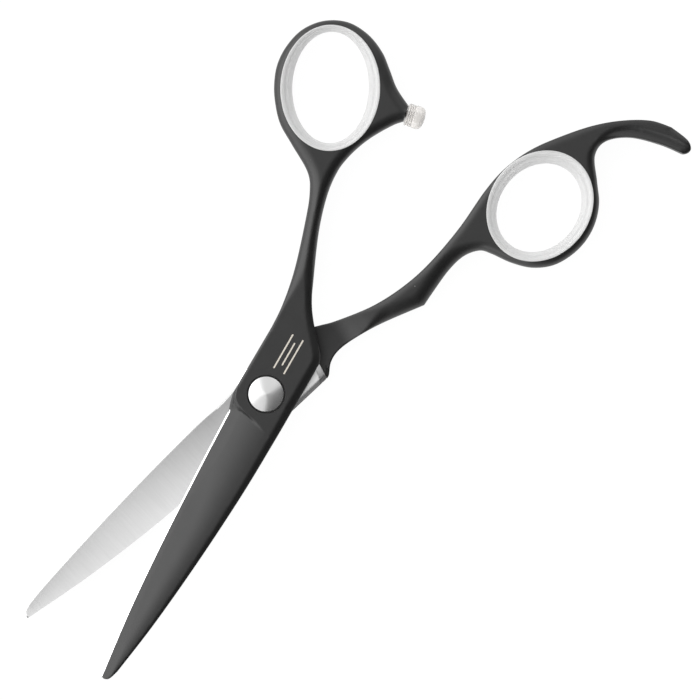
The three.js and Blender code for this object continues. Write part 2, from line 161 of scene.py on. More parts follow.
def ellipse(ring, axes, count, share=0.0):
    """Points of an ellipse about a ring's centre, moved by a share of the ring's shift."""
    turn = math.radians(ring["tilt"])
    t = np.arange(count) * 2 * math.pi / count
    shift = ring.get("shift", (0, 0))
    u, v = axes[0] * np.cos(t) + share * shift[0], axes[1] * np.sin(t) + share * shift[1]
    cx, cy = ring["centre"]
    return np.column_stack([
        cx + u * math.cos(turn) - v * math.sin(turn),
        cy + u * math.sin(turn) + v * math.cos(turn),
    ])


def grown(axes, by):
    """Half axes, each made larger."""
    return (axes[0] + by, axes[1] + by)


def ease(value, low, high):
    """0 below `low`, 1 above `high`, and smooth between."""
    t = np.clip((value - low) / (high - low), 0, 1)
    return t * t * (3 - 2 * t)


# ---- Outlines --------------------------------------------------------------

THUMB_TIP = (64.6, -0.4)
THUMB_EDGE_START = (6.6, -4.75)
THUMB_HEEL = (-10.6, 6.1)
THUMB_OUTLINE = [
    ("tip", [THUMB_TIP, (64.55, 0.45), (63.95, 1.2), (62, 1.85)]),
    ("spine", [(62, 1.85), (50, 3.5), (35, 4.88), (20, 5.78), (8, 6.05), (0, 6.1)]),
    ("flank", [(0, 6.1), (-5, 6.15), THUMB_HEEL]),
    ("inner", [
        THUMB_HEEL, (-12.2, 5.25), (-14.4, 3.35), (-17, 1.0), (-20, -1.12), (-24, -3.1), (-33, -7.0),
        (-40, -9.12), (-45, -9.7),
        *around(THUMB_RING, (45, 13.95), (60, 12.65), (75, 12.8), (90, 14.4)),
        lug_point(LUG_REACH, -LUG_HALF_WIDTH),
    ]),
    ("lug", [lug_point(LUG_REACH, -LUG_HALF_WIDTH), lug_point(LUG_REACH, LUG_HALF_WIDTH)]),
    ("outer", [
        lug_point(LUG_REACH, LUG_HALF_WIDTH),
        *around(
            THUMB_RING, (120, 13.15), (137, 12.3), (155, 12.5), (175, 13.0), (195, 13.5), (215, 13.38),
            (235, 12.84), (255, 12.02), (275, 11.47), (295, 11.1), (315, 11.24), (335, 12.08), (355, 13.35),
        ),
        (-42, -14.8), (-38.5, -12.3), (-33, -10.2), (-24, -7.4), (-17, -6.0), (-12, -5.63),
    ]),
    ("side", [(-12, -5.63), (3.0, -5.78)]),
    ("side", [(3.0, -5.78), (4.6, -5.4), THUMB_EDGE_START]),
    ("edge", [THUMB_EDGE_START, (20, -4.22), (35, -3.42), (50, -2.2), THUMB_TIP]),
]

FINGER_TIP = (64.5, 0.05)
FINGER_EDGE_START = (6.6, 4.75)
FINGER_HEEL = (-10.8, 5.95)
FINGER_KNUCKLE = (-34.7, 8.55)
FINGER_OUTLINE = [
    ("edge", [FINGER_TIP, (50, 2.25), (35, 3.75), (20, 4.5), FINGER_EDGE_START]),
    ("side", [FINGER_EDGE_START, (4.6, 5.55), (3.2, 5.95)]),
    ("side", [(3.2, 5.95), FINGER_HEEL]),
    ("inner", [
        FINGER_HEEL, (-11.6, 5.7), (-13.6, 4.15), (-16.2, 3.5), (-20, 3.9), (-26, 5.4), FINGER_KNUCKLE,
    ]),
    ("inner", [
        FINGER_KNUCKLE, (-38, 7.8), (-43, 6.85), (-47, 6.85), (-50, 8.15), (-51.3, 10.2),
        *around(
            FINGER_RING, (20, 12.42), (40, 12.18), (60, 11.94), (80, 11.52), (100, 11.38), (120, 11.46),
            (140, 11.76), (160, 12.35),
        ),
        (-79.4, 10.1), (-83, 9.55), (-87, 12.35), (-90.3, 17.4), (-92.2, 21.75),
    ]),
    ("end", [(-92.2, 21.75), (-93.1, 22.28), (-94.1, 21.95), (-94.69, 20.2), (-94.1, 16.4)]),
    ("outer", [
        (-94.1, 16.4), (-92, 12.6), (-88, 8.8), (-83, 5.5), (-77, 2.75), (-71, 0.65), (-65, -0.2),
        (-59, 0.3), (-50, 2.2), (-41, 3.2), (-34, 3.0), (-27, 1.65), (-20, -1.05), (-17, -2.62),
        (-14, -4.2), (-8, -6.3), (-4, -6.6), (0, -6.2), (4.6, -4.95), (9, -4.65),
    ]),
    ("spine", [(9, -4.65), (15, -4.83), (30, -4.35), (45, -3.45), (57, -2.47), (62.5, -1.78)]),
    ("tip", [(62.5, -1.78), (63.8, -1.35), (64.3, -0.75), FINGER_TIP]),
]

# ---- Making meshes ---------------------------------------------------------


def linked(name, data):
    """A new object in the scene."""
    made = bpy.data.objects.new(name, data)
    bpy.context.scene.collection.objects.link(made)
    return made


def new_object(name, vertices, faces, materials, face_materials=None, crease=38):
    """A smooth-shaded object from points in millimetres, with edges over `crease` degrees kept sharp."""
    mesh = bpy.data.meshes.new(name)
    mesh.from_pydata((np.asarray(vertices) * MM).tolist(), [], faces)
    for material in materials:
        mesh.materials.append(material)
    if face_materials is not None:
        mesh.polygons.foreach_set("material_index", np.asarray(face_materials, np.int32))
    mesh.validate()
    mesh.shade_smooth()
    mesh.set_sharp_from_angle(angle=math.radians(crease))
    return linked(name, mesh)


def turned(points, angle):
    """Points turned about the pivot axis."""
    points = np.array(points, float)
    c, s = math.cos(angle), math.sin(angle)
    points[:, :2] = points[:, :2] @ np.array([[c, s], [-s, c]])
    return points


def lathe(profile, segments=96):
    """Points and faces of a solid turned about Z, its profile from axis to axis or closed on itself."""
    profile = np.asarray(profile, float)
    closed = np.allclose(profile[0], profile[-1])
    if closed:
        profile = profile[:-1]
    turn = np.arange(segments) * 2 * math.pi / segments
    points, rings = [], []
    for radius, height in profile:
        if radius < 1e-6:
            rings.append([len(points)])
            points.append((0, 0, height))
            continue
        rings.append(list(range(len(points), len(points) + segments)))
        points.extend((radius * math.cos(t), radius * math.sin(t), height) for t in turn)
    faces = []
    following = rings[1:] + ([rings[0]] if closed else [])
    for low, high in zip(rings, following):
        for i in range(segments):
            j = (i + 1) % segments
            corners = [low[i % len(low)], low[j % len(low)], high[j % len(high)], high[i % len(high)]]
            corners = list(dict.fromkeys(corners))
            if len(corners) > 2:
                faces.append(corners)
    return np.array(points), faces


def rounded(profile, radius, steps=4):
    """A profile with each inner corner replaced by a short arc."""
    points = [np.asarray(p, float) for p in profile]
    out = [points[0]]
    for before, corner, after in zip(points, points[1:], points[2:]):
        to_before, to_after = before - corner, after - corner
        reach = min(radius, np.linalg.norm(to_before) * 0.45, np.linalg.norm(to_after) * 0.45)
        start = corner + to_before / np.linalg.norm(to_before) * reach
        end = corner + to_after / np.linalg.norm(to_after) * reach
        for t in np.linspace(0, 1, steps + 1):
            out.append((1 - t) ** 2 * start + 2 * t * (1 - t) * corner + t**2 * end)
    out.append(points[-1])
    return out


# ---- The forged halves -----------------------------------------------------

# Mesh spacing: along outlines, along drawn lines, and of the hexagonal grid
# between them. Layers of points follow the outline, at shares of its rounding.
BOUNDARY_STEP = 0.3
LINE_STEP = 0.17
GRID_STEP = 0.34
ROW_STEP = GRID_STEP * 0.866
LAYERS = (0.03, 0.1, 0.2, 0.33, 0.5, 0.7, 0.9)
LAYERED_WIDTH = 1.4
LEAST_LAYER = 0.012
POINT_GAP = 0.12
HOLE_GAP = 0.1
LINE_END_GAP = 0.05


def at_outline(values, place):
    """Values given along a closed outline, read at places between its samples."""
    count = len(values)
    i = np.floor(place).astype(int)
    t = place - i
    return values[i % count] * (1 - t) + values[(i + 1) % count] * t


class Plan:
    """A half seen from above: its outline, holes and the triangles between them."""

    def __init__(self, outline, rounding, holes, lines):
        traced = [(kind, spline(knots, BOUNDARY_STEP)) for kind, knots in outline]
        self.loop = np.vstack([points[:-1] for _, points in traced])
        self.kinds = np.concatenate([[kind] * (len(points) - 1) for kind, points in traced])
        self.closed = np.vstack([self.loop, self.loop[:1]])
        self.traced = traced
        widths = [np.broadcast_to(rounding(kind, points)[0], len(points))[:-1] for kind, points in traced]
        self.width = self.evened(np.minimum(np.concatenate(widths), LAYERED_WIDTH))
        self.holes = holes
        self.triangulate(lines)

    def hone_line(self, share=1):
        """The inner border of the polished bevel along the cutting edge, or the edge itself at share 0."""
        edge = next(points for kind, points in self.traced if kind == "edge")
        tangent = np.gradient(edge, axis=0)
        normal = np.column_stack([-tangent[:, 1], tangent[:, 0]]) / np.linalg.norm(tangent, axis=1)[:, None]
        return edge + share * normal * hone_width(edge[:, 0])[:, None]

    def evened(self, values, reach=7):
        """Values along the outline, averaged over their neighbours on each side, except at cutting edges."""
        kernel = np.hanning(2 * reach + 3)[1:-1]
        padded = np.concatenate([values[-reach:], values, values[:reach]])
        soft = np.convolve(padded, kernel / kernel.sum(), "valid")
        return np.where(self.kinds == "edge", values, soft)

    def measure(self):
        """Distances from every point of the mesh to each stretch of the outline, and where along it."""
        self.near = [(kind, path, *nearest(self.points, path)) for kind, path in self.traced]

    def distance(self, *kinds):
        """Distance from each point to the nearest stretch of the given kinds, or of any kind."""
        return np.min([away for kind, _, away, _ in self.near if not kinds or kind in kinds], axis=0)

    def edges_fall(self, rounding):
        """How far the rounded edges have fallen at each point. `rounding` gives width, drop and bulge."""
        total = np.zeros(len(self.points))
        for kind, path, away, place in self.near:
            samples = np.arange(len(path))
            width, drop, bulge = (
                np.interp(place, samples, np.broadcast_to(value, len(path))) for value in rounding(kind, path)
            )
            total += (drop * fall(away, width, bulge)) ** 4
        return total**0.25

    def clear_of_holes(self, points, margin):
        """Which points lie outside every hole by at least the margin."""
        clear = np.ones(len(points), bool)
        for ring, axes in self.holes:
            clear &= ellipse_share(points, ring, grown(axes, margin)) > 1
        return clear

    def triangulate(self, lines):
        """Lays points along the outline, along the lines and on a grid, and joins them into triangles."""
        tangent = np.roll(self.loop, -1, axis=0) - np.roll(self.loop, 1, axis=0)
        normal = np.column_stack([-tangent[:, 1], tangent[:, 0]])
        normal /= np.linalg.norm(normal, axis=1)[:, None]
        loops = [self.loop]
        for ring, axes in self.holes:
            loops.append(ellipse(ring, axes, round(2 * math.pi * np.mean(axes) / BOUNDARY_STEP))[::-1])
        free = []
        for share in LAYERS:
            wanted = self.width * share
            layer = self.loop + normal * wanted[:, None]
            real, _ = nearest(layer, self.closed)
            free.append(layer[(real > 0.9 * wanted) & (wanted > LEAST_LAYER)])
        low, high = self.loop.min(0), self.loop.max(0)
        rows = np.arange(low[1], high[1], ROW_STEP)
        for number, y in enumerate(rows):
            xs = np.arange(low[0] + (number % 2) * GRID_STEP / 2, high[0], GRID_STEP)
            free.append(np.column_stack([xs, np.full(len(xs), y)]))
        free = np.vstack(free)
        free = free[inside(free, self.loop) & self.clear_of_holes(free, HOLE_GAP)]
        real, place = nearest(free, self.closed)
        band = at_outline(self.width, place)
        on_grid = self.grid_flags(free)
        free = free[~on_grid | (real > 0.95 * band + POINT_GAP)]
        drawn, drawn_edges = [], []
        for points in [*lines, self.hone_line()]:
            real, _ = nearest(points, self.closed)
            keep = inside(points, self.loop) & (real > LINE_END_GAP)
            points = points[keep & self.clear_of_holes(points, LINE_END_GAP)]
            gap, _ = nearest(free, points)
            free = free[gap > POINT_GAP]
            start = sum(len(d) for d in drawn)
            drawn.append(points)
            drawn_edges += [(start + i, start + i + 1) for i in range(len(points) - 1)]
        self.solve(loops, drawn, drawn_edges, free)

    def grid_flags(self, points):
        """Which points lie on the hexagonal grid and not on a layer along the outline."""
        low = self.loop.min(0)
        rows = (points[:, 1] - low[1]) / ROW_STEP
        return np.abs(rows - np.round(rows)) < 1e-6

    def solve(self, loops, drawn, drawn_edges, free):
        """Joins the points into triangles that keep the loops and the drawn lines as edges."""
        points = np.vstack(loops + drawn + [free])
        edges, rings, start = [], [], 0
        for loop in loops:
            count = len(loop)
            rings.append(np.arange(start, start + count))
            edges += [(start + i, start + (i + 1) % count) for i in range(count)]
            start += count
        edges += [(start + a, start + b) for a, b in drawn_edges]
        vectors = [Vector(p) for p in points.tolist()]
        solved, _, faces, origins, _, _ = delaunay_2d_cdt(vectors, edges, [], 0, 1e-5)
        self.points = np.array([v[:] for v in solved])
        renumber = {old: new for new, olds in enumerate(origins) for old in olds}
        self.rings = [np.array([renumber[i] for i in ring]) for ring in rings]
        faces = np.array(faces)
        middle = self.points[faces].mean(1)
        keep = inside(middle, self.loop) & self.clear_of_holes(middle, 0)
        self.faces, self.middle = faces[keep], middle[keep]
        a, b, c = (self.points[self.faces[:, i]] for i in range(3))
        area = (b[:, 0] - a[:, 0]) * (c[:, 1] - a[:, 1]) - (b[:, 1] - a[:, 1]) * (c[:, 0] - a[:, 0])
        self.faces[area < 0] = self.faces[area < 0][:, ::-1]
        self.measure()

    def solid(self, top, bottom):
        """Points and faces between the two height fields, with a wall along every loop."""
        count = len(self.points)
        points = np.vstack([np.column_stack([self.points, top]), np.column_stack([self.points, bottom])])
        faces = self.faces.tolist() + (self.faces[:, ::-1] + count).tolist()
        for ring in self.rings:
            following = np.roll(ring, -1)
            faces += np.column_stack([ring, ring + count, following + count, following]).tolist()
        return points, faces


def fall(distance, width, bulge):
    """How far an edge has fallen, from 0 at `width` inside to 1 on the outline."""
    t = np.clip(1 - distance / np.maximum(width, 1e-6), 0, 1)
    return (1 - bulge) * t**1.08 + bulge * (1 - np.sqrt(1 - t * t))


def hone_width(x):
    """Width of the polished bevel, which narrows towards the tip."""
    return 0.27 - 0.16 * np.clip((x - 25) / 40, 0, 1)


# A ground face rises straight from the edge and is crowned towards the spine,
# which it reaches at CROWN of its width. A thin bevel is honed along the edge.
CROWN = 0.83
FULL_RISE = 2.06
THUMB_FULL_WIDTH = 10.2
FINGER_FULL_WIDTH = 9.6
GROUND_START = 0.15
HONE_START = 0.02
HONE_SLOPE = 0.45


def ground_rise(points, edge, spine, full_width):
    """Height of a ground face over the cutting edge, lower where the blade is narrower."""
    width = edge + spine
    share = np.minimum(edge / np.maximum(width, 1e-6), CROWN)
    straight = 0.1 + 0.35 * ease(points[:, 0], 10, 30)
    crowned = np.maximum(share - straight, 0) ** 2 / (2 * (CROWN - straight))
    at_spine = CROWN - (CROWN - straight) / 2
    return FULL_RISE * np.clip(width / full_width, 0, 1) ** 0.8 * (share - crowned) / at_spine


PLUNGE = [
    (0.6, -5.75), (2.6, -5.2), (3.7, -4.6), (4.45, -3.6), (4.95, -2.2), (5.5, 0), (6.05, 2),
    (6.85, 4), (8.2, 6.4),
]


def plunge_width(y):
    """Width of the ramp from the ricasso down to the ground face, which narrows towards the spine."""
    return 0.4 + 0.85 * (1 - ease(y, -5.2, -0.5))


def plunge_ramp(points, side):
    """0 on the ricasso and 1 on the ground face. `side` mirrors it for the other half."""
    curve = spline(PLUNGE, 0.1)
    y = points[:, 1] * side
    line = np.interp(y, curve[:, 1], curve[:, 0])
    return ease(points[:, 0], line, line + plunge_width(y))


def plunge_lines(side):
    """Lines along the ramp, for the mesh to follow."""
    curve = spline(PLUNGE, LINE_STEP)
    lines = []
    for share in (0, 0.3, 0.6, 1):
        shift = np.column_stack([share * plunge_width(curve[:, 1]), np.zeros(len(curve))])
        lines.append((curve + shift) * (1, side))
    return lines


def handle_reach(points):
    """Distance from the pivot on the handle side, and 0 on the blade side."""
    return np.where(points[:, 0] < 0, np.hypot(points[:, 0], points[:, 1]), 0)


# Each rounding function gives the width, drop and bulge of one stretch of the
# outline. A bulge of 0 is a flat chamfer and 1 a quarter round.

NO_ROUNDING = (0.1, 0.0, 0.0)
SMALL_ROUNDING = (0.35, 0.25, 0.3)


def spine_rounding(path, length):
    """Rounding of a blade's spine, which shrinks towards the tip."""
    blade = np.clip(path[:, 0] / length, 0, 1)
    return 1.45 - 1.1 * blade, 0.9 - 0.68 * blade, 0.35


def thumb_top_rounding(kind, path):
    reach = handle_reach(path)
    if kind == "spine":
        return spine_rounding(path, 60)
    if kind == "flank":
        return 1.5, 0.95, 0.35
    if kind == "inner":
        far = ease(reach, 20, 29)
        return 1.5 - 0.25 * ease(reach, 12, 17) + 1.0 * far, 0.95 + 1.1 * far, 0.35 + 0.65 * far
    if kind == "outer":
        far = ease(reach, 15.5, 27)
        return 0.45 + 1.95 * far, 0.35 + 1.75 * far, 1.0
    if kind == "edge":
        return NO_ROUNDING
    return SMALL_ROUNDING


def thumb_under_rounding(kind, path):
    if kind == "edge":
        return NO_ROUNDING
    far = ease(handle_reach(path), 19, 28)
    return 0.2 + 2.2 * far, 0.04 + 2.1 * far, 1.0


def tang_share(path):
    """0 at the finger ring and 1 along the little finger's rest."""
    return ease(-path[:, 0], 78, 87)


SHELF_DEPTH = 0.45
SHELF_STEP = 0.9
SHELF_RISE = 0.2


def tang_shelf(plan):
    """Depth of the shelf along the inner edge of the little finger's rest, which rises to that edge."""
    depth = np.zeros(len(plan.points))
    for kind, path, away, place in plan.near:
        if kind == "inner":
            share = np.interp(place, np.arange(len(path)), tang_share(path))
            past = 0.8 + 1.5 * share - away
            step = SHELF_DEPTH * ease(past, 0, SHELF_STEP)
            rise = SHELF_RISE * np.clip(past - SHELF_STEP, 0, None) ** 2
            depth = np.maximum(depth, share * (step - rise))
    return depth


def finger_top_rounding(kind, path):
    reach = handle_reach(path)
    tang = tang_share(path)
    if kind == "inner":
        far = ease(reach, 21.6, 29)
        ring = ease(reach, 44, 52)
        return 0.3 + 2.9 * far - 1.4 * ring - 1.45 * tang, 0.2 + 2.35 * far - 0.45 * ring - 1.92 * tang, 1.0
    if kind == "outer":
        far = ease(reach, 23, 30)
        return 0.3 + 1.1 * far - 0.7 * tang, 0.15 + 0.6 * far - 0.35 * tang, 1.0
    if kind == "end":
        return 1.4, 0.7, 1.0
    if kind == "edge":
        return NO_ROUNDING
    return 0.2, 0.03, 1.0


def finger_under_rounding(kind, path):
    far = ease(handle_reach(path), 18, 28)
    if kind == "spine":
        return spine_rounding(path, 64)
    if kind in ("inner", "outer", "end"):
        return 0.8 + 1.4 * far, 0.6 + 1.4 * far, 0.4 + 0.6 * far
    if kind == "edge":
        return NO_ROUNDING
    return SMALL_ROUNDING


RIDE_PANEL_RADIUS = 10.9
RIDE_PANEL_INSET = 0.75
RIDE_PANEL_STEP = 0.25
DISH_START = -3.5
DISH_SLOPE = 0.1
DISH_WIDTH = 8.0
RISE_START = 18.0
RISE_BLEND = 3.0
RISE_SLOPE = 0.31
CREST_GAP = 0.08
CREST_DROP = 0.9
CREST_LENGTH = 10.0
CREST_SOFTNESS = 0.05


def handle_floor(points, reach):
    """Height of the finger half's inner face: the ride panel, a dished recess, then a rise to the shank."""
    past = reach - RIDE_PANEL_RADIUS
    low = RIDE_LOWER - RIDE_PANEL_STEP * ease(past, 0, 0.5)
    across = np.clip(points[:, 1] - DISH_START, 0, DISH_WIDTH)
    dish = DISH_SLOPE * (across - across**2 / (2 * DISH_WIDTH))
    low -= dish * ease(past, 0.3, 1.5) * (1 - ease(reach, 18.5, 22.5))
    up = np.clip(reach - RISE_START, 0, None)
    climb = np.where(up < RISE_BLEND, up**2 / (2 * RISE_BLEND), up - RISE_BLEND / 2)
    rising = low + RISE_SLOPE * climb
    along = np.clip((reach - SHOULDER) / CREST_LENGTH, -0.25, 1)
    crest = HANDLE_TOP - CREST_GAP - CREST_DROP * (1 - along) ** 2
    gap = rising - crest
    return (rising + crest - np.sqrt(gap**2 + CREST_SOFTNESS**2)) / 2


def hollow(edge, spine):
    """Depth of the shallow hollow ground along a blade's inner face."""
    width = edge + spine
    share = edge / np.maximum(width, 1e-6)
    return 0.05 * width * share * (1 - share)


def ride_border(points, distance):
    """How far the ride panel's outer border falls."""
    border = np.clip(RIDE_PANEL_INSET - distance, 0, RIDE_PANEL_INSET)
    along = (points[:, 1] > 0) * (points[:, 0] > -12.5) * (1 - ease(points[:, 0], 2, 7))
    return (0.2 * border + 0.05 * ease(border, 0, 0.15)) * along


def thumb_heights(plan):
    """Heights of the thumb half's outer face and of the face it rides on."""
    points = plan.points
    reach = handle_reach(points)
    edge, spine = plan.distance("edge"), plan.distance("spine")
    rise = ground_rise(points, edge, spine, THUMB_FULL_WIDTH)
    ground = np.minimum(RIDE_UPPER + GROUND_START + rise, RIDE_UPPER + HONE_START + HONE_SLOPE * edge)
    ground = np.minimum(ground, HANDLE_TOP)
    plateau = HANDLE_TOP - 0.08 * ease(reach, 12, 40)
    top = plateau - (plateau - ground) * plunge_ramp(points, 1) - plan.edges_fall(thumb_top_rounding)

    bottom = RIDE_UPPER * (1 - ease(reach, SWING_RADIUS + 0.1, SWING_RADIUS + SWING_RAMP))
    bottom += plan.edges_fall(thumb_under_rounding) + hollow(edge, spine) * ease(points[:, 0], 7, 12)
    return top, bottom


def finger_heights(plan):
    """Heights of the finger half's inner face and of its back."""
    points = plan.points
    reach = handle_reach(points)
    edge, spine = plan.distance("edge"), plan.distance("spine")
    top = handle_floor(points, reach) - plan.edges_fall(finger_top_rounding)
    top -= ride_border(points, plan.distance())
    top -= hollow(edge, spine) * ease(points[:, 0], 7, 12) + tang_shelf(plan)

    back = BLADE_BACK * (1 - ease(reach, BACK_RADIUS, BACK_RADIUS + BACK_RAMP))
    rise = ground_rise(points, edge, spine, FINGER_FULL_WIDTH)
    ground = np.maximum(RIDE_LOWER - GROUND_START - rise, RIDE_LOWER - HONE_START - HONE_SLOPE * edge)
    ground = np.maximum(ground, BLADE_BACK)
    bottom = back + (ground - back) * plunge_ramp(points, -1) + plan.edges_fall(finger_under_rounding)
    return top, bottom


# Where the black coating ends and the bare blade begins, and where the bare ride
# panel gives way to the brushed blade.
THUMB_BARE_LINE = [(-11.6, 7), (-12.2, 3), (-12.4, 0), (-12.2, -3), (-11.6, -7)]
FINGER_BARE_LINE = [(-10.8, 6.3), (-11.1, 4.9), (-11.6, 3.0), (-12.0, 0), (-11.8, -4), (-10.6, -8)]
RIDE_PANEL_END = 3
POLISHED_TIP = 62.2
RIDE_PANEL_ARCS = [
    [(-r * math.cos(a), r * math.sin(a)) for a in np.linspace(-0.7, 0.7, 15)]
    for r in (RIDE_PANEL_RADIUS, RIDE_PANEL_RADIUS + 0.25, RIDE_PANEL_RADIUS + 0.5, RIDE_PANEL_RADIUS + 1.6)
]
COAT, BARE, HONED, RIDE = 0, 1, 2, 3


def forging(name, node, body, turn, outline, rounding, holes, bare_line, lines, heights, bare_on_top):
    """One half: coated all over, but bare past the bare line on one face and polished along its edge."""
    plan = Plan(outline, rounding, holes, [spline(line, LINE_STEP) for line in [bare_line, *lines]])
    points, faces = plan.solid(*heights(plan))
    curve = spline(bare_line, 0.1)
    order = np.argsort(curve[:, 1])
    line = np.interp(plan.middle[:, 1], curve[order, 1], curve[order, 0])
    past = np.where(plan.middle[:, 0] > RIDE_PANEL_END, BARE, RIDE)
    bare = np.where(plan.middle[:, 0] > line, past, COAT)
    edge = plan.hone_line(0)
    honed = nearest(plan.middle, edge)[0] < hone_width(plan.middle[:, 0])
    coat = np.where(honed, HONED, COAT)
    top, bottom = (bare, coat) if bare_on_top else (coat, bare)
    walls = []
    for ring in plan.rings:
        middle = (plan.points[ring] + plan.points[np.roll(ring, -1)]) / 2
        at_edge = nearest(middle, edge)[0] < 0.01
        at_tip = middle[:, 0] > POLISHED_TIP
        walls.append(np.where(at_edge | (at_tip & bare_on_top), HONED, COAT))
    # With bare_on_top, the bare steel gets painted shade, darker towards the pivot and the spine.
    materials = [black_coat(), brushed_steel(turn, bare_on_top), honed_steel(), ride_steel()]
    made = new_object(name, turned(points, turn), faces, materials, np.concatenate([top, bottom, *walls]))
    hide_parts(node)
    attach(made, body)


# ---- Ring inserts, bumper and pivot parts ----------------------------------


# An insert's upper face, as its share of the way in from the lip to the opening
# and its height over the middle.
INSERT_SECTION = [
    (0.0, 2.6), (0.0, 2.88), (0.015, 2.94), (0.05, 2.96), (0.13, 2.93), (0.22, 2.87), (0.3, 2.78),
    (0.34, 2.62), (0.37, 2.4), (0.41, 2.24), (0.47, 2.16), (0.54, 2.15), (0.62, 2.12), (0.7, 2.0),
    (0.79, 1.7), (0.87, 1.28), (0.94, 0.8), (0.985, 0.36),
]


def insert(name, node, body, turn, ring):
    """A soft sleeve in a finger ring: on each face a lip, a step down and a wall that bulges inwards."""
    lip, opening = ring["lip"], ring["opening"]
    bore = (grown(lip, -0.25), 0.0)
    middle = HANDLE_TOP / 2
    rows = [(*bore, 2.5)]
    for share, height in INSERT_SECTION:
        axes = tuple(a + (b - a) * share for a, b in zip(lip, opening))
        rows.append((axes, share, height))
    lower = [(axes, share, -height) for axes, share, height in reversed(rows)]
    loop = [(*bore, 0.0), *rows, (opening, 1.0, 0.0), *lower]
    count = 180
    points = np.vstack([
        np.column_stack([ellipse(ring, axes, count, share), np.full(count, middle + height)])
        for axes, share, height in loop
    ])
    faces = []
    for row in range(len(loop)):
        a, b = row * count, (row + 1) % len(loop) * count
        for i in range(count):
            j = (i + 1) % count
            faces.append((a + i, a + j, b + j, b + i))
    made = new_object(name, turned(points, turn), faces, [soft_plastic_painted_glow()], crease=60)
    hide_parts(node)
    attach(made, body)


def along_lug(points):
    """Points made along +Z, laid out along the thumb ring's lug."""
    a = math.radians(LUG_ANGLE)
    x, y = lug_point(LUG_REACH, 0)
    place = Matrix.Translation((x, y, BUMPER_HEIGHT))
    place = place @ Matrix.Rotation(a, 4, "Z") @ Matrix.Rotation(math.pi / 2, 4, "Y")
    return np.array([(place @ Vector(p))[:] for p in points])


def bumper():
    """A clear cap with a ribbed collar at the lug and a smooth domed end."""
    r = BUMPER_RADIUS
    profile = [(0.85, 0.06), (r - 0.45, 0.06), (r - 0.15, 0.2)]
    for rib in range(3):
        start = 0.35 + rib * 0.42
        profile += [(r - 0.02, start), (r - 0.02, start + 0.22)]
        profile += [(r - 0.2, start + 0.3), (r - 0.2, start + 0.38)]
    profile += [
        (r, 1.68), (r, 2.5), (r - 0.1, 3.0), (r - 0.42, 3.45), (r - 1.0, 3.72), (r - 1.7, 3.83),
        (0, 3.85), (0, 2.6), (0.85, 2.6), (0.85, 0.06),
    ]
    points, faces = lathe(rounded(profile, 0.1)[:-1] + [profile[0]], 72)
    points = turned(along_lug(points), THUMB_TURN)
    made = new_object("bumper_cap", points, faces, [clear_plastic()], crease=45)
    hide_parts("bumper")
    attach(made, "thumb_half")


def bumper_stud():
    """A threaded stud, half in the lug and half in the bumper."""
    turns = [(0.0, -2.55), (0.6, -2.55)]
    for i in range(14):
        height = -2.4 + i * 0.35
        turns += [(0.66, height), (0.8, height + 0.17)]
    turns += [(0.6, 2.48), (0.0, 2.5)]
    points, faces = lathe(turns, 48)
    points = turned(along_lug(points), THUMB_TURN)
    made = new_object("bumper_stud_thread", points, faces, [plain_steel()])
    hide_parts("bumper_stud")
    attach(made, "thumb_half")


def pivot_bolt():
    """A plain round bolt whose head is a shallow cone."""
    top = HANDLE_TOP
    profile = [
        (0, 0.42), (1.5, 0.42), (1.66, 0.58), (1.66, 1.6), (1.93, 1.72), (1.93, 3.9), (2.4, 3.92), (2.4, 5.5),
        (HEAD_RADIUS, 5.55), (HEAD_RADIUS, top - 0.16), (HEAD_RADIUS - 0.04, top - 0.11),
        (HEAD_RADIUS - 0.1, top - 0.09), (0.12, top + 0.365), (0, top + 0.37),
    ]
    points, faces = lathe(profile)
    made = new_object("pivot_bolt_turned", points, faces, [spun_steel()], crease=30)
    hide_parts("pivot_bolt")
    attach(made, "thumb_half")


def tension_dial():
    """A closed round nut with knurls around its rim and a ring groove on its face."""
    segments, knurls = 288, 36
    r, top = DIAL_RADIUS, DIAL_HEIGHT
    profile = [
        (0, 0), (2.3, 0), (2.36, 0.06), (2.5, 0.06), (2.56, 0), (3.9, 0), (4.1, 0.08), (r - 0.08, 0.3),
        (r, 0.42), (r, top - 0.15), (r - 0.12, top), (0, top),
    ]
    points, faces = lathe(profile, segments)
    bearing = np.arctan2(points[:, 1], points[:, 0])
    rim = ease(np.hypot(points[:, 0], points[:, 1]), r - 0.32, r - 0.05)
    scale = 1 - 0.035 * rim * (0.5 + 0.5 * np.cos(bearing * knurls)) ** 2
    points[:, :2] *= scale[:, None]
    made = new_object("tension_dial_knurled", points, faces, [spun_steel()], crease=45)
    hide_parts("tension_dial")
    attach(made, "tension_dial")


# Each rule's distance across the shank, and its two ends along it.
RULES = [(1.05, -12.7, -5.3), (-0.1, -11.4, -6.6), (-1.25, -12.7, -5.3)]
RULE_HALF_WIDTH = 0.15


def etched_rules():
    """Three plain rules etched through the coating behind the bolt."""
    half, low, high = RULE_HALF_WIDTH, HANDLE_TOP - 0.2, HANDLE_TOP + 0.012
    for number, (y, x0, x1) in enumerate(RULES):
        ends = np.linspace(-math.pi / 2, math.pi / 2, 9)
        shape = [(x1 + half * math.cos(a), y + half * math.sin(a)) for a in ends]
        shape += [(x0 - half * math.cos(a), y - half * math.sin(a)) for a in ends]
        count = len(shape)
        points = [(x, y, low) for x, y in shape] + [(x, y, high) for x, y in shape]
        faces = [list(range(count, 2 * count)), list(range(count))[::-1]]
        faces += [[i, (i + 1) % count, count + (i + 1) % count, count + i] for i in range(count)]
        made = new_object(f"etched_rule_{number + 1}", turned(points, THUMB_TURN), faces, [etched_steel()])
        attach(made, "thumb_half")


# ---- Materials -------------------------------------------------------------


def new_material(name):
    """A material, its nodes, its links and its shader."""
    material = bpy.data.materials.new(name)
    material.use_nodes = True
    nodes, links = material.node_tree.nodes, material.node_tree.links
    return material, nodes, links, nodes["Principled BSDF"]


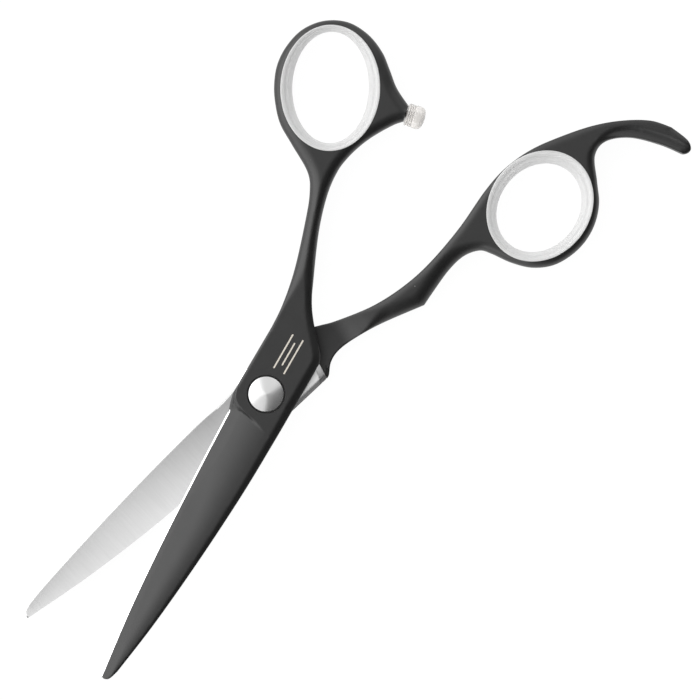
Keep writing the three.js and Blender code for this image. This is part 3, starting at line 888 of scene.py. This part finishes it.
def set_inputs(node, **values):
    """Sets a node's inputs, each named with _ for a space."""
    for name, value in values.items():
        node.inputs[name.replace("_", " ")].default_value = value


def mixed(nodes, links, below, above, factor=1.0, blend="MIX"):
    """One colour laid over another. The upper colour and the factor may be values or links."""
    made = nodes.new("ShaderNodeMix")
    made.data_type = "RGBA"
    made.blend_type = blend
    links.new(below, made.inputs["A"])
    for name, value in (("B", above), ("Factor", factor)):
        if isinstance(value, bpy.types.NodeSocket):
            links.new(value, made.inputs[name])
        else:
            made.inputs[name].default_value = value
    return made.outputs["Result"]


def mapped(nodes, links, scale, turn=0.0):
    """Object coordinates in millimetres, scaled along each axis."""
    place = nodes.new("ShaderNodeTexCoord")
    mapping = nodes.new("ShaderNodeMapping")
    set_inputs(mapping, Rotation=(0, 0, -turn))
    links.new(place.outputs["Object"], mapping.inputs["Vector"])
    if turn:
        second = nodes.new("ShaderNodeMapping")
        links.new(mapping.outputs["Vector"], second.inputs["Vector"])
        mapping = second
    set_inputs(mapping, Scale=tuple(s / MM for s in scale))
    return mapping.outputs["Vector"]


def noise(nodes, links, vector, detail=3.0, roughness=0.55):
    """A noise value from 0 to 1."""
    texture = nodes.new("ShaderNodeTexNoise")
    set_inputs(texture, Scale=1.0, Detail=detail, Roughness=roughness)
    links.new(vector, texture.inputs["Vector"])
    return texture.outputs["Fac"]


def ramp(nodes, links, factor, *stops):
    """A colour ramp. Each stop is a position and a grey or a colour."""
    made = nodes.new("ShaderNodeValToRGB")
    elements = made.color_ramp.elements
    while len(elements) < len(stops):
        elements.new(0.5)
    for element, (position, colour) in zip(elements, stops):
        element.position = position
        element.color = (*(colour if isinstance(colour, tuple) else (colour,) * 3), 1)
    links.new(factor, made.inputs["Fac"])
    return made.outputs["Color"]


def spread(nodes, links, factor, low, high):
    """A value from 0 to 1, spread over a range."""
    made = nodes.new("ShaderNodeMapRange")
    set_inputs(made, To_Min=low, To_Max=high)
    links.new(factor, made.inputs["Value"])
    return made.outputs["Result"]


def coloured(nodes, links, shader, grain, low, high, smooth, rough):
    """Gives a shader two colours and two roughnesses, mingled by a texture."""
    links.new(ramp(nodes, links, grain, (0.3, low), (0.7, high)), shader.inputs["Base Color"])
    links.new(spread(nodes, links, grain, smooth, rough), shader.inputs["Roughness"])


def bump(nodes, links, height, shader, strength, distance):
    """Gives a shader a surface of fine bumps, its distance in millimetres."""
    made = nodes.new("ShaderNodeBump")
    set_inputs(made, Strength=strength, Distance=distance * MM)
    links.new(height, made.inputs["Height"])
    links.new(made.outputs["Normal"], shader.inputs["Normal"])


_made = {}


def once(make):
    """Makes each material one time for each set of arguments."""
    def wrapper(*args):
        key = (make.__name__, args)
        if key not in _made:
            _made[key] = make(*args)
        return _made[key]
    return wrapper


@once
def black_coat():
    """Satin black coating: fine orange peel, faint cloudiness and a few specks of dust."""
    material, nodes, links, shader = new_material("black_coat")
    fine = noise(nodes, links, mapped(nodes, links, (9, 9, 9)), 4)
    cloud = noise(nodes, links, mapped(nodes, links, (0.35, 0.35, 0.35)), 3)
    specks = nodes.new("ShaderNodeTexVoronoi")
    set_inputs(specks, Scale=1.0)
    links.new(mapped(nodes, links, (0.28, 0.28, 0.28)), specks.inputs["Vector"])
    dust = ramp(nodes, links, specks.outputs["Distance"], (0.0, 1.0), (0.02, 1.0), (0.03, 0.0))
    base = ramp(nodes, links, cloud, (0.3, 0.0058), (0.7, 0.0080))
    links.new(mixed(nodes, links, base, (0.35, 0.35, 0.35, 1), dust), shader.inputs["Base Color"])
    links.new(spread(nodes, links, fine, 0.36, 0.5), shader.inputs["Roughness"])
    set_inputs(shader, IOR=1.55)
    bump(nodes, links, fine, shader, 0.25, 0.012)
    return material


@once
def brushed_steel(turn, with_painted_shade):
    """Bare steel ground across the blade. Its second argument paints shade into the colour, darker towards
    the pivot and the spine.
    """
    material, nodes, links, shader = new_material("brushed_steel")
    lines = noise(nodes, links, mapped(nodes, links, (3.0, 0.15, 0.15), turn), 3, 0.5)
    colour = ramp(nodes, links, lines, (0.25, 0.84), (0.75, 0.89))
    if with_painted_shade:
        # Painted shade: the steel colour is multiplied by a ramp that darkens it towards the pivot and the
        # spine.
        away = nodes.new("ShaderNodeVectorMath")
        away.operation = "DOT_PRODUCT"
        away.inputs[1].default_value = (0.01, 0.016, 0)
        links.new(mapped(nodes, links, (1, 1, 1), turn), away.inputs[0])
        stops = [(0.0, 0.5), (0.1, 0.65), (0.25, 0.79), (0.36, 0.84), (0.6, 0.79)]
        painted_shade = ramp(nodes, links, away.outputs["Value"], *stops)
        colour = mixed(nodes, links, colour, painted_shade, blend="MULTIPLY")
    links.new(colour, shader.inputs["Base Color"])
    links.new(spread(nodes, links, lines, 0.3, 0.38), shader.inputs["Roughness"])
    set_inputs(shader, Metallic=1.0)
    bump(nodes, links, lines, shader, 0.25, 0.004)
    return material


@once
def ride_steel():
    """Bare steel of the ride panels."""
    return simple_steel("ride_steel", 0.72, 0.8, 0.26)


@once
def honed_steel():
    """The polished bevel along a cutting edge."""
    material, nodes, links, shader = new_material("honed_steel")
    lines = noise(nodes, links, mapped(nodes, links, (10, 10, 10)), 3)
    coloured(nodes, links, shader, lines, 0.9, 0.97, 0.16, 0.26)
    set_inputs(shader, Metallic=1.0)
    return material


@once
def spun_steel():
    """Steel faced in a lathe: fine rings about the pivot axis."""
    material, nodes, links, shader = new_material("spun_steel")
    vector = mapped(nodes, links, (1, 1, 0))
    radius = nodes.new("ShaderNodeVectorMath")
    radius.operation = "LENGTH"
    links.new(vector, radius.inputs[0])
    rings = nodes.new("ShaderNodeTexNoise")
    rings.noise_dimensions = "1D"
    set_inputs(rings, Scale=11.0, Detail=4.0)
    links.new(radius.outputs["Value"], rings.inputs["W"])
    coloured(nodes, links, shader, rings.outputs["Fac"], 0.7, 0.78, 0.17, 0.25)
    tangent = nodes.new("ShaderNodeTangent")
    tangent.direction_type = "RADIAL"
    tangent.axis = "Z"
    links.new(tangent.outputs["Tangent"], shader.inputs["Tangent"])
    set_inputs(shader, Metallic=1.0, Anisotropic=0.85, Anisotropic_Rotation=0.25)
    bump(nodes, links, rings.outputs["Fac"], shader, 0.25, 0.006)
    return material


def simple_steel(name, low, high, roughness):
    """Fine-grained metal between two colours."""
    material, nodes, links, shader = new_material(name)
    grain = noise(nodes, links, mapped(nodes, links, (6, 6, 6)), 4)
    coloured(nodes, links, shader, grain, low, high, roughness, roughness + 0.12)
    set_inputs(shader, Metallic=1.0)
    bump(nodes, links, grain, shader, 0.2, 0.008)
    return material


@once
def plain_steel():
    """Unpolished steel of the small parts."""
    return simple_steel("plain_steel", 0.55, 0.66, 0.3)


@once
def bronze():
    """Sintered bronze of the pivot bushing."""
    return simple_steel("bronze", (0.48, 0.33, 0.16), (0.6, 0.43, 0.22), 0.38)


@once
def etched_steel():
    """Bare metal with a pale gold tint where the coating is etched away."""
    return simple_steel("etched_steel", (0.62, 0.57, 0.5), (0.78, 0.74, 0.67), 0.45)


def plastic(name, low, high, roughness):
    """Moulded plastic between two colours, and its shader."""
    material, nodes, links, shader = new_material(name)
    grain = noise(nodes, links, mapped(nodes, links, (3, 3, 3)), 4)
    coloured(nodes, links, shader, grain, low, high, roughness, roughness + 0.1)
    bump(nodes, links, grain, shader, 0.15, 0.01)
    return material, shader


@once
def soft_plastic_painted_glow():
    """Whitish translucent plastic of the ring inserts, with a faint even glow painted in as emitted light."""
    material, shader = plastic("soft_plastic_painted_glow", (0.45, 0.45, 0.448), (0.5, 0.5, 0.498), 0.5)
    set_inputs(shader, Subsurface_Weight=0.4, Subsurface_Radius=(1.0, 1.0, 1.0), Subsurface_Scale=1.0 * MM)
    # Painted light: a faint white emission makes the inserts glow evenly.
    set_inputs(shader, Emission_Color=(1, 1, 1, 1), Emission_Strength=0.2)
    set_inputs(shader, Transmission_Weight=0.4, IOR=1.45)
    return material


@once
def clear_plastic():
    """Clear, slightly milky plastic of the bumper."""
    material, shader = plastic("clear_plastic", (0.9, 0.87, 0.84), (0.95, 0.93, 0.91), 0.1)
    set_inputs(shader, Transmission_Weight=0.5, IOR=1.45)
    return material


@once
def black_nylon():
    """Black plastic of the hidden liner and washer."""
    return plastic("black_nylon", 0.018, 0.03, 0.5)[0]


@once
def white_plastic():
    """White plastic of the washer between the halves."""
    return plastic("white_plastic", (0.78, 0.78, 0.76), (0.85, 0.85, 0.83), 0.42)[0]


# ---- Building the object ---------------------------------------------------

RING_GAP = 0.03


def build():
    """All the pieces, and the looks of the CAD parts that stay."""
    forging(
        "thumb_half_forging", "thumb_blade", "thumb_half", THUMB_TURN,
        outline=THUMB_OUTLINE,
        rounding=thumb_top_rounding,
        holes=[(THUMB_RING, grown(THUMB_RING["lip"], RING_GAP)), (SEAT, (HEAD_SEAT_RADIUS,) * 2)],
        bare_line=THUMB_BARE_LINE,
        lines=plunge_lines(1),
        heights=thumb_heights,
        bare_on_top=False,
    )
    forging(
        "finger_half_forging", "finger_blade", "finger_half", FINGER_TURN,
        outline=FINGER_OUTLINE,
        rounding=finger_under_rounding,
        holes=[(FINGER_RING, grown(FINGER_RING["lip"], RING_GAP)), (SEAT, (DIAL_SEAT_RADIUS,) * 2)],
        bare_line=FINGER_BARE_LINE,
        lines=[*RIDE_PANEL_ARCS, *plunge_lines(-1)],
        heights=finger_heights,
        bare_on_top=True,
    )
    insert("thumb_insert", "thumb_ring_insert", "thumb_half", THUMB_TURN, THUMB_RING)
    insert("finger_insert", "finger_ring_insert", "finger_half", FINGER_TURN, FINGER_RING)
    bumper()
    bumper_stud()
    pivot_bolt()
    tension_dial()
    etched_rules()
    hidden = {
        "head_liner": black_nylon(),
        "thrust_washer": black_nylon(),
        "ride_washer": white_plastic(),
        "pivot_bushing": bronze(),
        "disc_spring_inner": plain_steel(),
        "disc_spring_outer": plain_steel(),
        "click_plate": plain_steel(),
    }
    for node, material in hidden.items():
        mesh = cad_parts[node].data
        mesh.materials.clear()
        mesh.materials.append(material)


# ---- Studio ----------------------------------------------------------------

# The photograph's view: its centre, its width and the directions of its axes.
VIEW_CENTRE = Vector((-17.04, 7.56, 3.6)) * MM
VIEW_SIZE = 138.0 * MM
VIEW_RIGHT = Vector((-0.6205, 0.7842, 0))
VIEW_UP = Vector((-0.7842, -0.6205, 0))
VIEW_ANGLE = math.radians(9)
FLOOR_HALF_SIZE = 3.0
FLOOR_DROP = 0.02 * MM


def studio_camera():
    """A long lens straight above the table."""
    data = bpy.data.cameras.new("camera")
    data.sensor_width = 36
    data.lens = data.sensor_width / (2 * math.tan(VIEW_ANGLE / 2))
    made = linked("camera", data)
    up = Vector((0, 0, 1))
    turn = Matrix((VIEW_RIGHT.normalized(), VIEW_UP.normalized(), up)).transposed().to_4x4()
    distance = VIEW_SIZE / 2 / math.tan(VIEW_ANGLE / 2)
    made.matrix_world = Matrix.Translation(VIEW_CENTRE + up * distance) @ turn
    bpy.context.scene.camera = made


def studio_floor():
    """A white table top that shows no shadows."""
    corners = [(x * FLOOR_HALF_SIZE, y * FLOOR_HALF_SIZE, 0) for x, y in ((-1, -1), (1, -1), (1, 1), (-1, 1))]
    mesh = bpy.data.meshes.new("floor")
    mesh.from_pydata(corners, [], [(0, 1, 2, 3)])
    made = linked("floor", mesh)
    made.location.z = -FLOOR_DROP
    material, _, _, shader = new_material("floor_white")
    set_inputs(shader, Base_Color=(0.05, 0.05, 0.05, 1), Roughness=1.0, Specular_IOR_Level=0.0)
    set_inputs(shader, Emission_Color=(1, 1, 1, 1), Emission_Strength=0.97)
    mesh.materials.append(material)


def direction(bearing, tilt):
    """A direction from its bearing in the picture (0 is right, 90 is up) and its angle from straight up."""
    a, b = math.radians(bearing), math.radians(tilt)
    level = math.cos(a) * VIEW_RIGHT.normalized() + math.sin(a) * VIEW_UP.normalized()
    return math.sin(b) * level + Vector((0, 0, math.cos(b)))


# Light of the sky: how far round from the dark side to the main light, and the
# radiance there. Then a dark flag, two soft lamps and what the camera sees behind.
SKY_LIGHT = [
    (0.25, 0.12), (0.45, 0.4), (0.55, 0.82), (0.67, 0.87), (0.78, 1.0), (0.83, 1.9), (0.88, 2.9), (1, 2.9),
]
STRONGEST = 2.9
FLAG_LIGHT = 0.07
LOWER_LAMP = 2.4
UPPER_LAMP = 1.7
BACKDROP = 0.94


def studio_world():
    """Soft light, brightest from the left of the picture, with a dark flag at its lower right."""
    world = bpy.data.worlds.new("studio")
    bpy.context.scene.world = world
    world.use_nodes = True
    nodes, links = world.node_tree.nodes, world.node_tree.links
    place = nodes.new("ShaderNodeTexCoord").outputs["Generated"]

    def facing(centre):
        """How far each direction faces a centre, from -1 to 1."""
        made = nodes.new("ShaderNodeVectorMath")
        made.operation = "DOT_PRODUCT"
        links.new(place, made.inputs[0])
        made.inputs[1].default_value = centre
        return made.outputs["Value"]

    def limits(value, low, high):
        """0 at `low` and 1 at `high`."""
        made = nodes.new("ShaderNodeMapRange")
        set_inputs(made, From_Min=low, From_Max=high)
        links.new(value, made.inputs["Value"])
        return made.outputs["Result"]

    def patch(centre, outer, inner):
        """1 within `inner` degrees of a direction and 0 outside `outer` degrees."""
        low, high = (math.cos(math.radians(angle)) for angle in (outer, inner))
        return limits(facing(centre), low, high)

    def over(below, radiance, factor):
        """One light laid over what is below it."""
        grey = radiance / STRONGEST
        return mixed(nodes, links, below, (grey, grey, grey, 1), factor)

    stops = [(position, radiance / STRONGEST) for position, radiance in SKY_LIGHT]
    light = ramp(nodes, links, limits(facing(direction(165, 70)), -1, 1), *stops)
    light = over(light, FLAG_LIGHT, patch(direction(-33, 75), 64, 63))
    light = over(light, LOWER_LAMP, patch(direction(-119, 77), 34, 16))
    light = over(light, UPPER_LAMP, patch(direction(55, 62), 32, 12))

    background = nodes["Background"]
    links.new(light, background.inputs["Color"])
    set_inputs(background, Strength=STRONGEST)
    plain = nodes.new("ShaderNodeBackground")
    set_inputs(plain, Color=(BACKDROP, BACKDROP, BACKDROP, 1))
    path = nodes.new("ShaderNodeLightPath")
    seen = nodes.new("ShaderNodeMixShader")
    links.new(path.outputs["Is Camera Ray"], seen.inputs["Fac"])
    links.new(background.outputs["Background"], seen.inputs[1])
    links.new(plain.outputs["Background"], seen.inputs[2])
    links.new(seen.outputs["Shader"], nodes["World Output"].inputs["Surface"])


studio_camera()
studio_floor()
studio_world()
bpy.context.scene.view_settings.view_transform = "Standard"
build()
